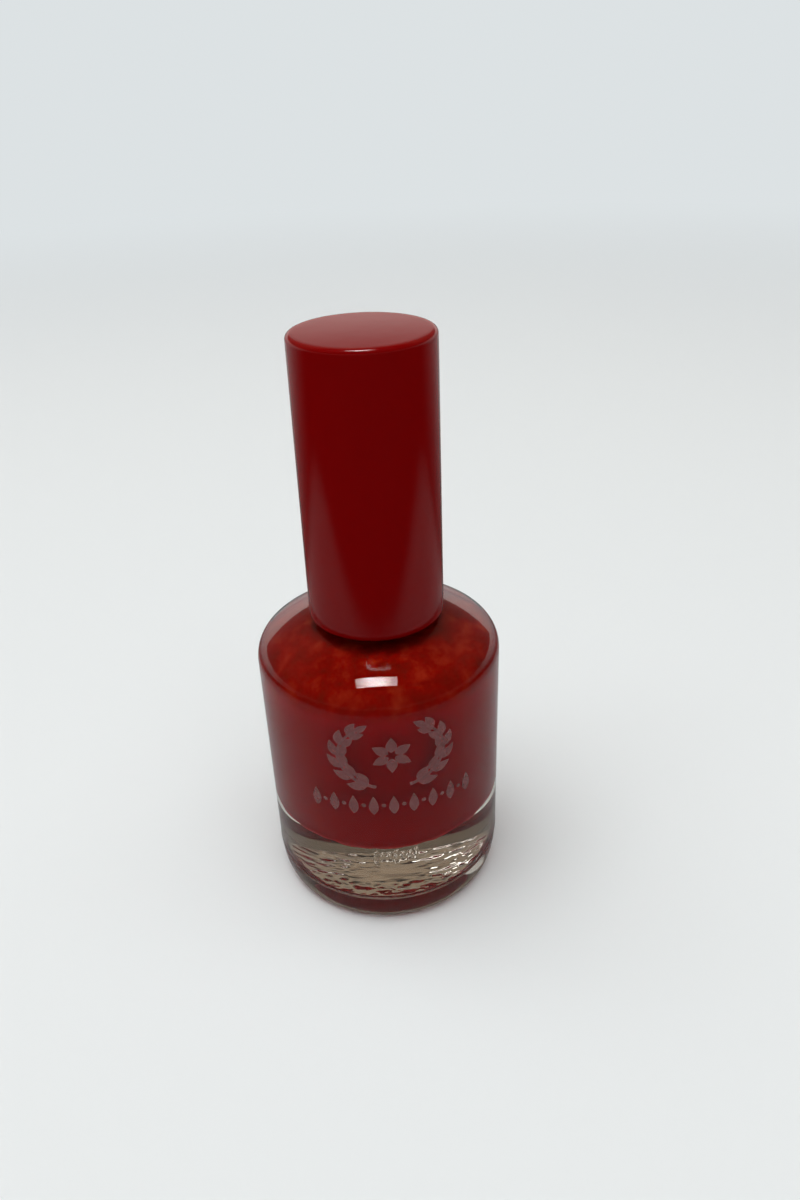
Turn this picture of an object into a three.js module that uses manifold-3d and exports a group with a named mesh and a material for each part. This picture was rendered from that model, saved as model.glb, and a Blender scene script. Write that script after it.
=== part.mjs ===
// Nail polish bottle with a screw cap and brush, in millimetres, +Z up.
// The origin is the centre of the ring that the bottle stands on.
import * as THREE from 'three';
import { mergeVertices } from 'three/addons/utils/BufferGeometryUtils.js';
import Module from 'manifold-3d';

const wasm = await Module();
wasm.setup();

// Driving dimensions
const BODY_RADIUS = 15.5;
const GLASS_WALL = 1.7;
const SHOULDER_START_Z = 34.3;
const SHOULDER_EDGE_RADIUS = 2.8;
const INNER_EDGE_RADIUS = 3.0;
const SHOULDER_DOME_RADIUS = 21.4;
const SHOULDER_EDGE_SLOPE = THREE.MathUtils.degToRad(33);
const SHOULDER_FOOT_SLOPE = THREE.MathUtils.degToRad(16);
const FLOOR_Z = 12.0;
const FLOOR_CORNER_RADIUS = 2.0;
const HEEL_WIDTH = 2.6;
const HEEL_HEIGHT = 6.0;
const HEEL_FULLNESS = 0.8;
const HEEL_STEPS = 7;
const STANDING_RING_WIDTH = 1.4;
const PUSH_UP_HEIGHT = 0.4;
const PUSH_UP_FLAT_RADIUS = 7.9;
const PUSH_UP_FLAT_Z = 0.3;

const NECK_RADIUS = 5.75;
const NECK_BORE_RADIUS = 3.9;
const NECK_COLLAR_RADIUS = 6.7;
const NECK_FILLET_TOP_Z = 40.3;
const NECK_COLLAR_TOP_Z = 40.7;
const NECK_COLLAR_CHAMFER = 0.5;
const LIP_Z = 50.4;
const LIP_RADIUS = 0.5;

const THREAD_PITCH = 2.117;
const THREAD_TURNS = 1.25;
const THREAD_START_Z = 46.05;
const NECK_BEAD_RADIUS = 0.7;
const NECK_BEAD_CENTRE = 5.8;
const CAP_BEAD_RADIUS = 0.55;
const CAP_BEAD_CENTRE = 6.65;

const CAP_RIM_Z = 40.15;
const CAP_TOP_Z = 74.6;
const CAP_RIM_RADIUS = 8.45;
const CAP_TOP_RADIUS = 8.3;
const CAP_EDGE_RADIUS = 0.6;
const CAP_BORE_RADIUS = 7.6;
const CAP_BORE_DRAFT = 0.1;
const CAP_BORE_CORNER = 1.0;
const CAP_ROOF = 1.6;
const RIM_CHAMFER = 0.2;
const RIM_LEAD_IN = 0.4;

const INSERT_BOTTOM_Z = 41.2;
const INSERT_RADIUS = 7.3;
const INSERT_BORE_RADIUS = 6.7;
const INSERT_ROOF = 1.2;
const INSERT_RIB_RADIUS = 7.5;
const INSERT_RIBS = 12;
const INSERT_RIB_WIDTH = 0.9;
const INSERT_RIB_END_GAP = 1.0;
const INSERT_RIB_SUNK = 0.3;
const STEM_HOLE_CLEARANCE = 0.1;
const SOCKET_RADIUS = 5.4;
const SOCKET_WALL = 0.8;
const SOCKET_HEIGHT = 3.0;
const SNAP_RADIUS = 4.2;
const SNAP_HALF_HEIGHT = 0.35;
const SNAP_CLEARANCE = 0.2;

const GASKET_THICKNESS = 0.8;
const GASKET_RADIUS = 5.7;
const GASKET_HOLE_RADIUS = 2.55;
const FACE_GAP = 0.05;

const STEM_NECK_RADIUS = 2.4;
const STEM_TOP_RADIUS = 1.9;
const STEM_TIP_RADIUS = 1.5;
const STEM_FLANGE_RADIUS = 4.4;
const STEM_FLANGE_THICKNESS = 1.0;
const STEM_BEAD_Z = 46.6;
const STEM_BEAD_RADIUS = 2.8;
const STEM_BEAD_HALF_HEIGHT = 0.5;
const STEM_TAPER_END_Z = 44.6;
const STEM_NECK_START_Z = 45.6;
const STEM_CHAMFER = 0.3;
const STEM_BOSS_HEIGHT = 1.5;
const STEM_TIP_Z = 28.5;
const TUFT_SOCKET_RADIUS = 1.15;
const TUFT_SOCKET_DEPTH = 4.2;
const TUFT_ROOT_RADIUS = 1.0;
const TUFT_BELLY_RADIUS = 1.75;
const TUFT_TIP_Z = 13.7;
const TUFT_BELLY_LENGTH = 4.0;
const TUFT_TIP_FULLNESS = 0.9;
const TUFT_WAIST_FULLNESS = 0.85;
const TUFT_GAP = 0.3;
const STAPLE_SIZE = [1.9, 0.35, 0.7];
const STAPLE_GAP = 0.1;

const LACQUER_GAP = 0.1;
const LACQUER_SURFACE_RADIUS = 8.5;
const BRUSH_PATH_RADIUS = 2.6;
const BALL_RADIUS = 2.25;
const BALL_ORBIT_RADIUS = 9.6;
const BALL_CLEARANCE = 0.35;

const ROUND_SEGMENTS = 40;
const FINE_SEGMENTS = 24;
const ARC_DIVISIONS = 2;
const GLASS_ARC_DIVISIONS = 3;
const THREAD_STEPS_PER_TURN = 24;
const BEAD_SIDES = 8;
const BALL_SEGMENTS = [16, 10];

// Sizes worked out from the ones above
const INNER_RADIUS = BODY_RADIUS - GLASS_WALL;
const STANDING_RADIUS = BODY_RADIUS - HEEL_WIDTH;
const PUSH_UP_RADIUS = STANDING_RADIUS - STANDING_RING_WIDTH;
const INSERT_ROOF_Z = LIP_Z + GASKET_THICKNESS + 2 * FACE_GAP;
const INSERT_TOP_Z = INSERT_ROOF_Z + INSERT_ROOF;
const BALL_Z = FLOOR_Z + BALL_RADIUS + BALL_CLEARANCE / 2;

function finish(color, roughness, metalness = 0, opacity = 1) {
  const transparent = opacity < 1;
  return new THREE.MeshStandardMaterial({ color, roughness, metalness, opacity, transparent });
}

const clearGlass = finish(0xdfe3dc, 0.03, 0, 0.3);
const redLacquer = finish(0x6a1a1c, 0.15);
const glossRed = finish(0x5c0208, 0.06);
const whitePlastic = finish(0xe9e7e1, 0.4);
const softSeal = finish(0xd9dcdc, 0.6);
const steel = finish(0xb9bcc0, 0.25, 1);
const darkBristle = finish(0x1b1818, 0.55);

function mesh(name, geometry, material) {
  const part = new THREE.Mesh(geometry, material);
  part.name = name;
  return part;
}

// Only positions, with shared corners and no triangle that has shrunk to a line.
function weld(geometry) {
  const bare = geometry.clone();
  bare.deleteAttribute('normal');
  bare.deleteAttribute('uv');
  const merged = mergeVertices(bare, 1e-4);
  const index = merged.getIndex().array;
  const kept = [];
  for (let i = 0; i < index.length; i += 3) {
    const [a, b, c] = [index[i], index[i + 1], index[i + 2]];
    if (a !== b && b !== c && c !== a) kept.push(a, b, c);
  }
  merged.setIndex(kept);
  return merged;
}

// A closed mesh becomes a solid that can be joined or cut.
function toSolid(geometry) {
  const welded = weld(geometry);
  const vertProperties = new Float32Array(welded.getAttribute('position').array);
  const triVerts = new Uint32Array(welded.getIndex().array);
  return new wasm.Manifold(new wasm.Mesh({ numProp: 3, vertProperties, triVerts }));
}

function toGeometry(solid) {
  const result = solid.getMesh();
  const geometry = new THREE.BufferGeometry();
  geometry.setAttribute('position', new THREE.BufferAttribute(result.vertProperties, 3));
  geometry.setIndex(new THREE.BufferAttribute(result.triVerts, 1));
  geometry.computeVertexNormals();
  return geometry;
}

// Turns an outline (x = radius, y = height) about Z.
function revolve(outline, segments = ROUND_SEGMENTS, divisions = ARC_DIVISIONS) {
  const geometry = new THREE.LatheGeometry(outline.getPoints(divisions), segments);
  geometry.rotateX(Math.PI / 2);
  return weld(geometry);
}

function box(width, depth, height, x, y, z) {
  const geometry = new THREE.BoxGeometry(width, depth, height);
  geometry.translate(x, y, z);
  return geometry;
}

class Helix extends THREE.Curve {
  constructor(radius, startZ) {
    super();
    this.radius = radius;
    this.startZ = startZ;
  }

  getPoint(t, target = new THREE.Vector3()) {
    const angle = 2 * Math.PI * THREAD_TURNS * t;
    const z = this.startZ + THREAD_PITCH * THREAD_TURNS * t;
    return target.set(this.radius * Math.cos(angle), this.radius * Math.sin(angle), z);
  }
}

// A right-hand round thread bead whose two ends are rounded off by balls.
function threadBead(radius, startZ, beadRadius) {
  const helix = new Helix(radius, startZ);
  const section = new THREE.Shape(
    new THREE.Path().absarc(0, 0, beadRadius, 0, 2 * Math.PI).getSpacedPoints(BEAD_SIDES),
  );
  const steps = THREAD_STEPS_PER_TURN * THREAD_TURNS;
  const bead = new THREE.ExtrudeGeometry(section, { steps, extrudePath: helix, bevelEnabled: false });
  let solid = toSolid(bead);
  for (const end of [0, 1]) {
    const cap = new THREE.SphereGeometry(beadRadius, BEAD_SIDES, BEAD_SIDES / 2);
    const at = helix.getPoint(end);
    cap.translate(at.x, at.y, at.z);
    solid = solid.add(toSolid(cap));
  }
  return solid;
}

// The shoulder is a small arc at the wall that runs smoothly into a wide dome.
const DOME_REACH = SHOULDER_DOME_RADIUS - SHOULDER_EDGE_RADIUS;
const DOME_CENTRE = new THREE.Vector2(
  BODY_RADIUS - SHOULDER_EDGE_RADIUS - DOME_REACH * Math.sin(SHOULDER_EDGE_SLOPE),
  SHOULDER_START_Z - DOME_REACH * Math.cos(SHOULDER_EDGE_SLOPE),
);

// The small arc of a surface that lies inset below the outside. It meets the wall and the
// dome smoothly, and is rounder on the inside of the glass.
function edgeArc(inset) {
  const radius = inset > 0 ? INNER_EDGE_RADIUS + GLASS_WALL - inset : SHOULDER_EDGE_RADIUS;
  const x = BODY_RADIUS - inset - radius;
  const reach = SHOULDER_DOME_RADIUS - inset - radius;
  const end = Math.acos((x - DOME_CENTRE.x) / reach);
  return { x, z: DOME_CENTRE.y + reach * Math.sin(end), radius, end };
}

// Height of the dome at a radius, for a surface that lies inset below the outside.
function domeHeight(radius, inset = 0) {
  const domeRadius = SHOULDER_DOME_RADIUS - inset;
  return DOME_CENTRE.y + Math.sqrt(domeRadius ** 2 - (radius - DOME_CENTRE.x) ** 2);
}

// Adds the shoulder from the wall up to a radius on the dome.
function addShoulderUp(outline, radius, inset) {
  const edge = edgeArc(inset);
  const domeRadius = SHOULDER_DOME_RADIUS - inset;
  const top = Math.acos((radius - DOME_CENTRE.x) / domeRadius);
  outline.lineTo(edge.x + edge.radius, edge.z);
  outline.absarc(edge.x, edge.z, edge.radius, 0, edge.end);
  outline.absarc(DOME_CENTRE.x, DOME_CENTRE.y, domeRadius, edge.end, top);
}

// Adds the shoulder from a radius on the dome down to the wall.
function addShoulderDown(outline, radius, inset) {
  const edge = edgeArc(inset);
  const domeRadius = SHOULDER_DOME_RADIUS - inset;
  const top = Math.acos((radius - DOME_CENTRE.x) / domeRadius);
  outline.lineTo(radius, domeHeight(radius, inset));
  outline.absarc(DOME_CENTRE.x, DOME_CENTRE.y, domeRadius, top, edge.end, true);
  outline.absarc(edge.x, edge.z, edge.radius, edge.end, 0, true);
}

// The heel curves up from the standing ring to the wall, fuller than an ellipse.
function addHeel(outline) {
  const curve = new THREE.CubicBezierCurve(
    new THREE.Vector2(STANDING_RADIUS, 0),
    new THREE.Vector2(STANDING_RADIUS + HEEL_WIDTH * HEEL_FULLNESS, 0),
    new THREE.Vector2(BODY_RADIUS, HEEL_HEIGHT * (1 - HEEL_FULLNESS)),
    new THREE.Vector2(BODY_RADIUS, HEEL_HEIGHT),
  );
  for (const point of curve.getPoints(HEEL_STEPS)) outline.lineTo(point.x, point.y);
}

function glassOutline() {
  const domeEnd = DOME_CENTRE.x + SHOULDER_DOME_RADIUS * Math.sin(SHOULDER_FOOT_SLOPE);
  const neckRootZ = domeHeight(domeEnd) + (domeEnd - NECK_COLLAR_RADIUS) * Math.tan(SHOULDER_FOOT_SLOPE);
  const cornerCentre = INNER_RADIUS - FLOOR_CORNER_RADIUS;
  const outline = new THREE.Path();
  outline.moveTo(0, PUSH_UP_HEIGHT);
  outline.lineTo(PUSH_UP_FLAT_RADIUS, PUSH_UP_FLAT_Z);
  outline.lineTo(PUSH_UP_RADIUS, 0);
  addHeel(outline);
  addShoulderUp(outline, domeEnd, 0);
  outline.quadraticCurveTo(NECK_COLLAR_RADIUS, neckRootZ, NECK_COLLAR_RADIUS, NECK_FILLET_TOP_Z);
  outline.lineTo(NECK_COLLAR_RADIUS, NECK_COLLAR_TOP_Z);
  outline.lineTo(NECK_RADIUS, NECK_COLLAR_TOP_Z + NECK_COLLAR_CHAMFER);
  outline.absarc(NECK_RADIUS - LIP_RADIUS, LIP_Z - LIP_RADIUS, LIP_RADIUS, 0, Math.PI / 2);
  outline.absarc(NECK_BORE_RADIUS + LIP_RADIUS, LIP_Z - LIP_RADIUS, LIP_RADIUS, Math.PI / 2, Math.PI);
  addShoulderDown(outline, NECK_BORE_RADIUS, GLASS_WALL);
  outline.absarc(cornerCentre, FLOOR_Z + FLOOR_CORNER_RADIUS, FLOOR_CORNER_RADIUS, 0, -Math.PI / 2, true);
  outline.lineTo(0, FLOOR_Z);
  return outline;
}

// The glass alone, with the thread bead sunk half into the neck's wall.
function glassBottle() {
  const bead = threadBead(NECK_BEAD_CENTRE, THREAD_START_Z, NECK_BEAD_RADIUS);
  const blank = toSolid(revolve(glassOutline(), ROUND_SEGMENTS, GLASS_ARC_DIVISIONS));
  return toGeometry(blank.add(bead));
}

// The lacquer fills the bottle to the shoulder. It has a shaft where the brush comes out
// and a round channel at the floor where the mixing balls roll.
function lacquerFill() {
  const channelRadius = BALL_RADIUS + BALL_CLEARANCE;
  const bottom = FLOOR_Z + LACQUER_GAP;
  const inset = GLASS_WALL + LACQUER_GAP;
  const outline = new THREE.Path();
  outline.moveTo(BRUSH_PATH_RADIUS, bottom);
  outline.lineTo(BALL_ORBIT_RADIUS - channelRadius, bottom);
  outline.lineTo(BALL_ORBIT_RADIUS - channelRadius, BALL_Z);
  outline.absarc(BALL_ORBIT_RADIUS, BALL_Z, channelRadius, Math.PI, 0, true);
  outline.lineTo(INNER_RADIUS - LACQUER_GAP, FLOOR_Z + FLOOR_CORNER_RADIUS);
  addShoulderUp(outline, LACQUER_SURFACE_RADIUS, inset);
  outline.lineTo(BRUSH_PATH_RADIUS, domeHeight(LACQUER_SURFACE_RADIUS, inset));
  outline.lineTo(BRUSH_PATH_RADIUS, bottom);
  return revolve(outline);
}

function mixingBall() {
  return weld(new THREE.SphereGeometry(BALL_RADIUS, ...BALL_SEGMENTS));
}

function outerCap() {
  const edge = CAP_TOP_RADIUS - CAP_EDGE_RADIUS;
  const roofZ = CAP_TOP_Z - CAP_ROOF;
  const corner = CAP_BORE_RADIUS - CAP_BORE_DRAFT - CAP_BORE_CORNER;
  const outline = new THREE.Path();
  outline.moveTo(0, roofZ);
  outline.lineTo(corner, roofZ);
  outline.absarc(corner, roofZ - CAP_BORE_CORNER, CAP_BORE_CORNER, Math.PI / 2, 0, true);
  outline.lineTo(CAP_BORE_RADIUS, CAP_RIM_Z + RIM_LEAD_IN);
  outline.lineTo(CAP_BORE_RADIUS + RIM_CHAMFER, CAP_RIM_Z);
  outline.lineTo(CAP_RIM_RADIUS - RIM_CHAMFER, CAP_RIM_Z);
  outline.lineTo(CAP_RIM_RADIUS, CAP_RIM_Z + RIM_CHAMFER);
  outline.absarc(edge, CAP_TOP_Z - CAP_EDGE_RADIUS, CAP_EDGE_RADIUS, 0, Math.PI / 2);
  outline.lineTo(0, CAP_TOP_Z);
  return revolve(outline);
}

// The socket above the roof has a snap ridge that keeps the stem's flange down.
function innerCapOutline() {
  const hole = STEM_NECK_RADIUS + STEM_HOLE_CLEARANCE;
  const socketBore = SOCKET_RADIUS - SOCKET_WALL;
  const socketTop = INSERT_TOP_Z + SOCKET_HEIGHT;
  const snapZ = INSERT_TOP_Z + STEM_FLANGE_THICKNESS + SNAP_HALF_HEIGHT + SNAP_CLEARANCE;
  const outline = new THREE.Path();
  outline.moveTo(hole, INSERT_ROOF_Z);
  outline.lineTo(INSERT_BORE_RADIUS, INSERT_ROOF_Z);
  outline.lineTo(INSERT_BORE_RADIUS, INSERT_BOTTOM_Z + RIM_LEAD_IN);
  outline.lineTo(INSERT_BORE_RADIUS + RIM_CHAMFER, INSERT_BOTTOM_Z);
  outline.lineTo(INSERT_RADIUS, INSERT_BOTTOM_Z);
  outline.lineTo(INSERT_RADIUS, INSERT_TOP_Z);
  outline.lineTo(SOCKET_RADIUS, INSERT_TOP_Z);
  outline.lineTo(SOCKET_RADIUS, socketTop);
  outline.lineTo(socketBore, socketTop);
  outline.lineTo(socketBore, snapZ + SNAP_HALF_HEIGHT);
  outline.lineTo(SNAP_RADIUS, snapZ);
  outline.lineTo(socketBore, snapZ - SNAP_HALF_HEIGHT);
  outline.lineTo(socketBore, INSERT_TOP_Z);
  outline.lineTo(hole, INSERT_TOP_Z);
  outline.lineTo(hole, INSERT_ROOF_Z);
  return outline;
}

// The threaded insert, with upright ribs that grip the outer cap.
function innerCap() {
  let solid = toSolid(revolve(innerCapOutline()));
  const bead = threadBead(CAP_BEAD_CENTRE, THREAD_START_Z - THREAD_PITCH / 2, CAP_BEAD_RADIUS);
  solid = solid.add(bead);
  const ribHeight = INSERT_TOP_Z - INSERT_BOTTOM_Z - 2 * INSERT_RIB_END_GAP;
  const ribDepth = INSERT_RIB_RADIUS - INSERT_RADIUS + INSERT_RIB_SUNK;
  for (let i = 0; i < INSERT_RIBS; i += 1) {
    const rib = box(ribDepth, INSERT_RIB_WIDTH, ribHeight,
      INSERT_RIB_RADIUS - ribDepth / 2, 0, INSERT_BOTTOM_Z + INSERT_RIB_END_GAP + ribHeight / 2);
    rib.rotateZ((2 * Math.PI * i) / INSERT_RIBS);
    solid = solid.add(toSolid(rib));
  }
  return toGeometry(solid);
}

function gasket() {
  const bottom = LIP_Z + FACE_GAP;
  const outline = new THREE.Path();
  outline.moveTo(GASKET_HOLE_RADIUS, bottom);
  outline.lineTo(GASKET_RADIUS, bottom);
  outline.lineTo(GASKET_RADIUS, bottom + GASKET_THICKNESS);
  outline.lineTo(GASKET_HOLE_RADIUS, bottom + GASKET_THICKNESS);
  outline.lineTo(GASKET_HOLE_RADIUS, bottom);
  return revolve(outline);
}

// The stem hangs by its flange from the insert's roof. Its bead carries the gasket.
function brushStem() {
  const socketTop = STEM_TIP_Z + TUFT_SOCKET_DEPTH;
  const flangeZ = INSERT_TOP_Z + FACE_GAP;
  const flangeTopZ = flangeZ + STEM_FLANGE_THICKNESS;
  const bossTopZ = flangeTopZ + STEM_BOSS_HEIGHT;
  const outline = new THREE.Path();
  outline.moveTo(0, socketTop);
  outline.lineTo(TUFT_SOCKET_RADIUS, socketTop);
  outline.lineTo(TUFT_SOCKET_RADIUS, STEM_TIP_Z);
  outline.lineTo(STEM_TIP_RADIUS - STEM_CHAMFER / 2, STEM_TIP_Z);
  outline.lineTo(STEM_TIP_RADIUS, STEM_TIP_Z + STEM_CHAMFER);
  outline.lineTo(STEM_TOP_RADIUS, STEM_TAPER_END_Z);
  outline.lineTo(STEM_NECK_RADIUS, STEM_NECK_START_Z);
  outline.lineTo(STEM_NECK_RADIUS, STEM_BEAD_Z - STEM_BEAD_HALF_HEIGHT);
  outline.quadraticCurveTo(2 * STEM_BEAD_RADIUS - STEM_NECK_RADIUS, STEM_BEAD_Z,
    STEM_NECK_RADIUS, STEM_BEAD_Z + STEM_BEAD_HALF_HEIGHT);
  outline.lineTo(STEM_NECK_RADIUS, flangeZ);
  outline.lineTo(STEM_FLANGE_RADIUS, flangeZ);
  outline.lineTo(STEM_FLANGE_RADIUS, flangeTopZ - STEM_CHAMFER);
  outline.lineTo(STEM_FLANGE_RADIUS - STEM_CHAMFER, flangeTopZ);
  outline.lineTo(STEM_NECK_RADIUS, flangeTopZ);
  outline.lineTo(STEM_NECK_RADIUS - STEM_CHAMFER, bossTopZ);
  outline.lineTo(0, bossTopZ);
  return revolve(outline, FINE_SEGMENTS, ARC_DIVISIONS);
}

// Pointed at neither end: full at the belly and drawn in where it enters the stem.
function bristleTuft() {
  const bellyZ = TUFT_TIP_Z + TUFT_BELLY_LENGTH;
  const waistZ = STEM_TIP_Z - TUFT_BELLY_LENGTH;
  const rootTop = STEM_TIP_Z + TUFT_SOCKET_DEPTH - STAPLE_SIZE[2] - TUFT_GAP;
  const outline = new THREE.Path();
  outline.moveTo(0, TUFT_TIP_Z);
  outline.quadraticCurveTo(TUFT_BELLY_RADIUS * TUFT_TIP_FULLNESS, TUFT_TIP_Z,
    TUFT_BELLY_RADIUS, bellyZ);
  outline.quadraticCurveTo(TUFT_BELLY_RADIUS * TUFT_WAIST_FULLNESS, waistZ,
    TUFT_ROOT_RADIUS, STEM_TIP_Z - TUFT_GAP);
  outline.lineTo(TUFT_ROOT_RADIUS, rootTop);
  outline.lineTo(0, rootTop);
  return revolve(outline, FINE_SEGMENTS, 2 * ARC_DIVISIONS);
}

// The flat wire anchor that drives the bristles into the stem.
function staple() {
  const [width, depth, height] = STAPLE_SIZE;
  const top = STEM_TIP_Z + TUFT_SOCKET_DEPTH - STAPLE_GAP;
  return weld(box(width, depth, height, 0, 0, top - height / 2));
}

const bottle = new THREE.Group();
bottle.add(mesh('glass_bottle', glassBottle(), clearGlass));
bottle.add(mesh('lacquer', lacquerFill(), redLacquer));
for (const side of [1, -1]) {
  const ball = mesh(side > 0 ? 'mixing_ball_right' : 'mixing_ball_left', mixingBall(), steel);
  ball.position.set(side * BALL_ORBIT_RADIUS, 0, BALL_Z);
  bottle.add(ball);
}

const closure = new THREE.Group();
closure.add(mesh('outer_cap', outerCap(), glossRed));
closure.add(mesh('inner_cap', innerCap(), whitePlastic));
closure.add(mesh('sealing_gasket', gasket(), softSeal));

const brush = new THREE.Group();
brush.add(mesh('brush_stem', brushStem(), whitePlastic));
brush.add(mesh('bristle_tuft', bristleTuft(), darkBristle));
brush.add(mesh('tuft_staple', staple(), steel));
closure.add(brush);

const nailPolish = new THREE.Group();
nailPolish.add(bottle, closure);

export default nailPolish;
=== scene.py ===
"""Looks for the nail polish bottle: clear glass, dark red lacquer, glossy cap and brush.

All sizes are in metres, in the frame of the CAD model. -Y is the front.
"""

import math
import random

import bmesh
import bpy
from mathutils import Matrix, Vector, noise


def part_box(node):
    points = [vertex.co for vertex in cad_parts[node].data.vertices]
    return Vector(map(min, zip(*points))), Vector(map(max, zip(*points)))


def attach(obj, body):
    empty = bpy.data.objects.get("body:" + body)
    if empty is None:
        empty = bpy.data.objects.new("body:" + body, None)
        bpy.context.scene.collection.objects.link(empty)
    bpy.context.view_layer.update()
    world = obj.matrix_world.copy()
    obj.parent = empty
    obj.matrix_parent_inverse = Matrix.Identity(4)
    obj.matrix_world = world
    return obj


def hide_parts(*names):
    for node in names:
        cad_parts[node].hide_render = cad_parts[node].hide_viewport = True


MM = 0.001
TOUCH = 1e-6
SAME = 1e-7
TAU = 2 * math.pi
MARK_TURN = math.radians(3)

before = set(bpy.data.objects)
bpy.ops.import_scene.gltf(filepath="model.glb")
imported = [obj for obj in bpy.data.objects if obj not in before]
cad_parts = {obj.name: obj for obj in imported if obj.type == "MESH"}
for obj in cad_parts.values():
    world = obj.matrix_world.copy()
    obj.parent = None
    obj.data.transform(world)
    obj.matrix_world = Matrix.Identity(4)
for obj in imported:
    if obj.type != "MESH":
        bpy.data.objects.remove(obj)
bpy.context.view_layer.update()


# ---------------------------------------------------------------- driving sizes, read from the frame
GLASS_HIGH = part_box("glass_bottle")[1]
LACQUER_LOW, LACQUER_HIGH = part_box("lacquer")
CAP_LOW, CAP_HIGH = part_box("outer_cap")
INSERT_LOW, INSERT_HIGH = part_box("inner_cap")
GASKET_LOW, GASKET_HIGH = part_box("sealing_gasket")
STEM_LOW, STEM_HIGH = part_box("brush_stem")
TUFT_LOW, TUFT_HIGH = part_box("bristle_tuft")

BODY_R = GLASS_HIGH.x
LIP_Z = GLASS_HIGH.z
CAP_R = CAP_HIGH.x
CAP_RIM_Z = CAP_LOW.z
CAP_TOP_Z = CAP_HIGH.z

LACQUER_GAP = 0.1 * MM
INNER_R = LACQUER_HIGH.x + LACQUER_GAP
WALL = BODY_R - INNER_R
FLOOR_Z = LACQUER_LOW.z - LACQUER_GAP
FLOOR_CORNER = 2.0 * MM
HEEL_W = 2.6 * MM
HEEL_H = 6.0 * MM
HEEL_FULLNESS = 0.8
RING_W = 1.4 * MM
PUSH_UP = 0.4 * MM
PUSH_UP_FLAT_R = 7.9 * MM
PUSH_UP_FLAT_Z = 0.3 * MM
SHOULDER_Z = 34.3 * MM
EDGE_R = 2.8 * MM
INNER_EDGE_R = 3.0 * MM
DOME_R = 21.4 * MM
EDGE_SLOPE = math.radians(33)
FOOT_SLOPE = math.radians(16)
NECK_R = 5.75 * MM
COLLAR_R = 6.7 * MM
COLLAR_TOP_Z = 40.7 * MM
COLLAR_SLOPE_H = 0.5 * MM
FILLET_TOP_Z = 40.3 * MM
BORE_R = 3.9 * MM
LIP_R = 0.5 * MM
THREAD_PITCH = 2.117 * MM
THREAD_TURNS = 1.25
THREAD_Z = 46.05 * MM
THREAD_CENTRE_R = 5.8 * MM
THREAD_BEAD_R = 0.7 * MM
LIQUID_TOP_R = 8.5 * MM
STEP_WIDTH = 0.15 * MM
STEP_HALF_RISE = 0.05 * MM
SEAM_Z = 4.7 * MM
SEAM_HALF = 0.13 * MM
SEAM_RISE = 0.05 * MM

DOME_C = Vector((
    BODY_R - EDGE_R - (DOME_R - EDGE_R) * math.sin(EDGE_SLOPE),
    SHOULDER_Z - (DOME_R - EDGE_R) * math.cos(EDGE_SLOPE),
))


# ---------------------------------------------------------------- mesh helpers
def arc(centre_r, centre_z, radius, start, end, steps, radius_z=None):
    """Points on a circle or ellipse in the (radius, height) plane, from start to end in degrees."""
    radius_z = radius if radius_z is None else radius_z
    points = []
    for i in range(steps + 1):
        angle = math.radians(start + (end - start) * i / steps)
        points.append((centre_r + radius * math.cos(angle), centre_z + radius_z * math.sin(angle)))
    return points


def line(start, end, steps):
    """Points on a straight line, without the first."""
    return [
        (start[0] + (end[0] - start[0]) * i / steps, start[1] + (end[1] - start[1]) * i / steps)
        for i in range(1, steps + 1)
    ]


def joined(*pieces):
    """One outline from several, with no point twice."""
    outline = []
    for piece in pieces:
        for point in piece:
            if not outline or math.dist(point, outline[-1]) > SAME:
                outline.append(point)
    return outline


def object_from(bm, name, material, smooth=True):
    """Object with one material from a bmesh, which is used up."""
    mesh = bpy.data.meshes.new(name)
    bm.to_mesh(mesh)
    bm.free()
    mesh.polygons.foreach_set("use_smooth", [smooth] * len(mesh.polygons))
    mesh.materials.append(material)
    obj = bpy.data.objects.new(name, mesh)
    bpy.context.scene.collection.objects.link(obj)
    return obj


def lathe(name, outline, material, angles=256, bend=None, closed=False):
    """Turns an outline (radius, height) about Z. Points on the axis become one pole.

    angles is a count or a list of angles. bend(radius, angle, height, index) may move a point."""
    if isinstance(angles, int):
        angles = [TAU * i / angles for i in range(angles)]
    bm = bmesh.new()
    rings = []
    for index, (radius, height) in enumerate(outline):
        if radius < SAME:
            rings.append([bm.verts.new((0, 0, height))])
            continue
        ring = []
        for angle in angles:
            r, z = bend(radius, angle, height, index) if bend else (radius, height)
            ring.append(bm.verts.new((r * math.cos(angle), r * math.sin(angle), z)))
        rings.append(ring)
    count = len(angles)
    pairs = list(zip(rings, rings[1:]))
    if closed:
        pairs.append((rings[-1], rings[0]))
    for low, high in pairs:
        for i in range(count):
            j = (i + 1) % count
            if len(low) == 1:
                bm.faces.new((low[0], high[j], high[i]))
            elif len(high) == 1:
                bm.faces.new((low[i], low[j], high[0]))
            else:
                bm.faces.new((low[i], low[j], high[j], high[i]))
    bmesh.ops.recalc_face_normals(bm, faces=bm.faces)
    return object_from(bm, name, material)


def sharpen(obj, degrees):
    """Keeps real corners crisp under smooth shading."""
    bm = bmesh.new()
    bm.from_mesh(obj.data)
    limit = math.radians(degrees)
    for edge in bm.edges:
        if len(edge.link_faces) == 2 and edge.calc_face_angle() > limit:
            edge.smooth = False
    bm.to_mesh(obj.data)
    bm.free()
    return obj


# ---------------------------------------------------------------- material helpers
def new_material(name):
    """New material with its node tree and its Principled shader."""
    mat = bpy.data.materials.new(name)
    mat.use_nodes = True
    tree = mat.node_tree
    shader = tree.nodes["Principled BSDF"]
    return mat, tree, shader


def node(tree, kind, **values):
    """New node; a value is for its socket of that name, or else for its own property."""
    made = tree.nodes.new(kind)
    for key, value in values.items():
        if key in made.inputs:
            made.inputs[key].default_value = value
        else:
            setattr(made, key, value)
    return made


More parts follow.
